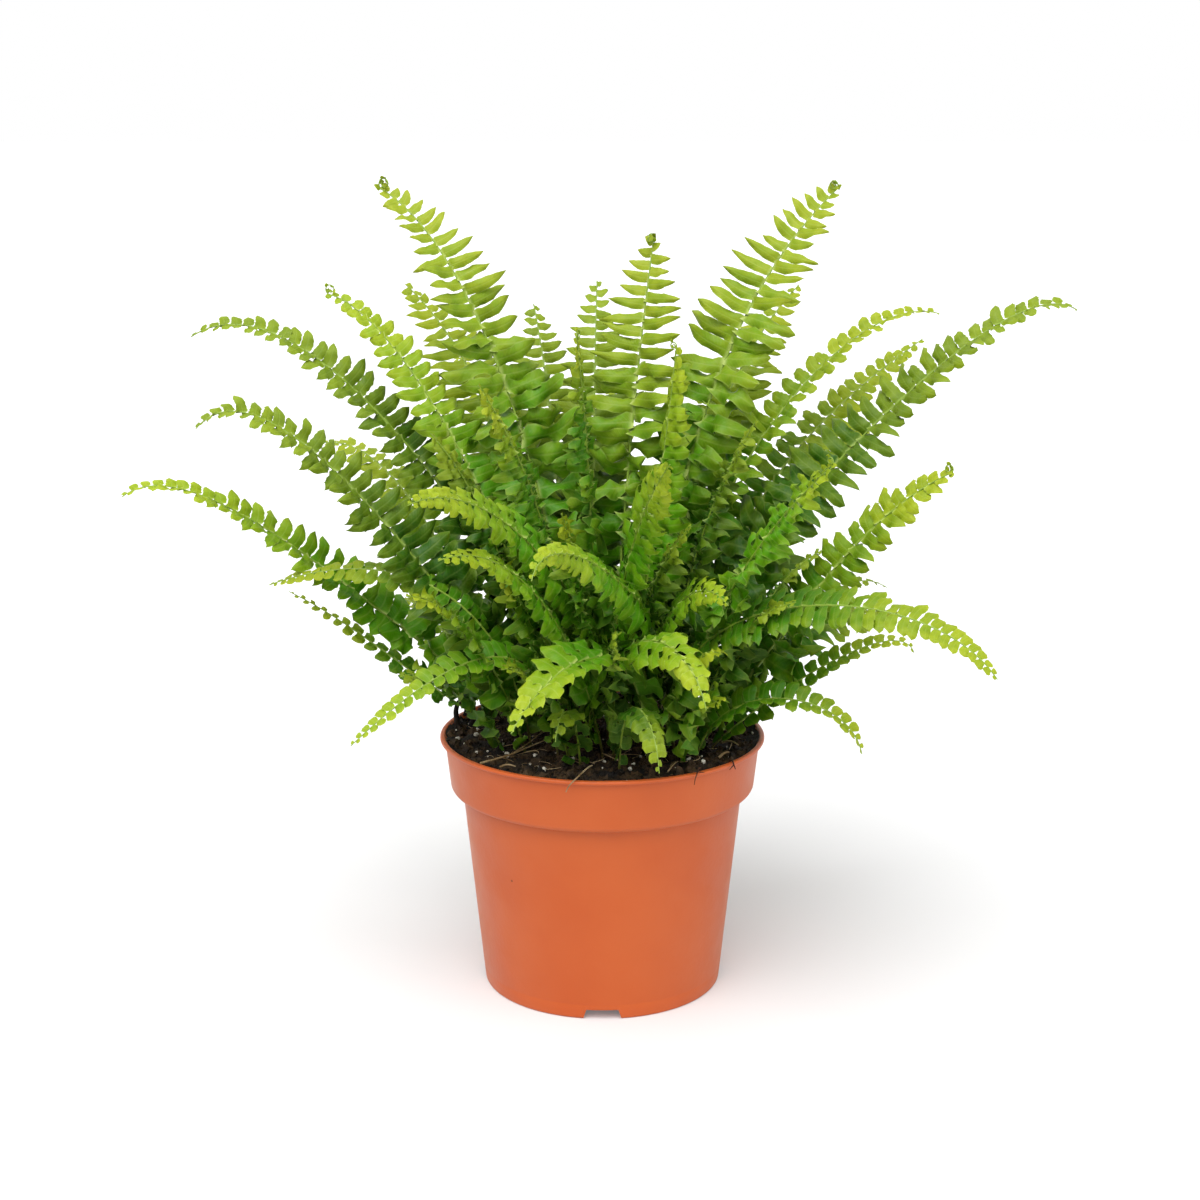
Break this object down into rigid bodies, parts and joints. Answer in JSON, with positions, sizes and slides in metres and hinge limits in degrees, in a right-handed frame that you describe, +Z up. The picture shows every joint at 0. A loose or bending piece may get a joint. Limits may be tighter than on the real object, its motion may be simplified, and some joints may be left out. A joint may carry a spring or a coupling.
{
  "type": "potted fern",
  "caption": "Young Boston fern with arching feathery fronds, growing in a round orange plastic nursery pot full of dark peat.",
  "frame": {"origin": "middle of the pot's foot, on the surface the pot stands on", "axes": "+Z up, out of the pot; +X along the plant's widest spread; -Y towards the side with the low young fronds"},
  "size_m": [0.3364, 0.2303, 0.2942],
  "materials": {
    "pot": "satin",
    "soil": "rough, damp",
    "frond_young": "soft sheen",
    "frond_grown": "soft sheen",
    "frond_old": "soft sheen"
  },
  "bodies": {
    "root": {"pot": "pot", "soil": "soil", "frond_tall_left": "frond_young", "frond_left_coiled": "frond_young", "frond_left_behind": "frond_grown", "frond_left_upper": "frond_old", "frond_left_middle": "frond_grown", "frond_left_long": "frond_grown", "frond_middle_tall": "frond_young", "frond_middle_behind": "frond_old", "frond_middle_left_behind": "frond_old", "frond_tall_right": "frond_young", "frond_tall_right_behind": "frond_grown", "frond_right_upper": "frond_grown", "frond_right_long": "frond_old", "frond_right_behind": "frond_grown", "frond_right_middle": "frond_grown", "frond_right_front": "frond_young", "frond_front_left_arch": "frond_young", "frond_front_middle_arch": "frond_young", "frond_front_young": "frond_young", "frond_centre_left": "frond_young", "frond_centre_coiled": "frond_young", "frond_centre_right": "frond_young", "frond_right_low_arch": "frond_young", "frond_right_low_thin": "frond_grown", "frond_right_lowest": "frond_grown", "frond_left_low_arch": "frond_young", "frond_left_low_thin": "frond_grown", "frond_left_low_edge": "frond_grown", "frond_front_left_small": "frond_young", "frond_front_low_broad": "frond_young", "frond_front_low_dark": "frond_old", "frond_front_hanging": "frond_grown", "frond_front_right_bright": "frond_young", "frond_front_right_small": "frond_young", "frond_right_inner": "frond_old", "frond_right_thin": "frond_old", "frond_inner_left": "frond_grown", "frond_inner_left_low": "frond_old", "frond_inner_front_left": "frond_grown", "frond_inner_front": "frond_old", "frond_inner_front_right": "frond_grown", "frond_inner_right": "frond_old", "frond_inner_centre_left": "frond_old", "frond_inner_centre_right": "frond_old", "frond_inner_middle": "frond_grown", "frond_inner_middle_right": "frond_old", "frond_inner_low_left": "frond_old", "frond_inner_low_right": "frond_grown", "frond_back_left": "frond_grown", "frond_back_left_low": "frond_grown", "frond_back_left_tall": "frond_grown", "frond_back_middle": "frond_grown", "frond_back_middle_low": "frond_young", "frond_back_right_tall": "frond_grown", "frond_back_right": "frond_grown", "frond_back_right_low": "frond_grown", "frond_back_low": "frond_old", "frond_back_low_left": "frond_old"}
  },
  "joints": []
}
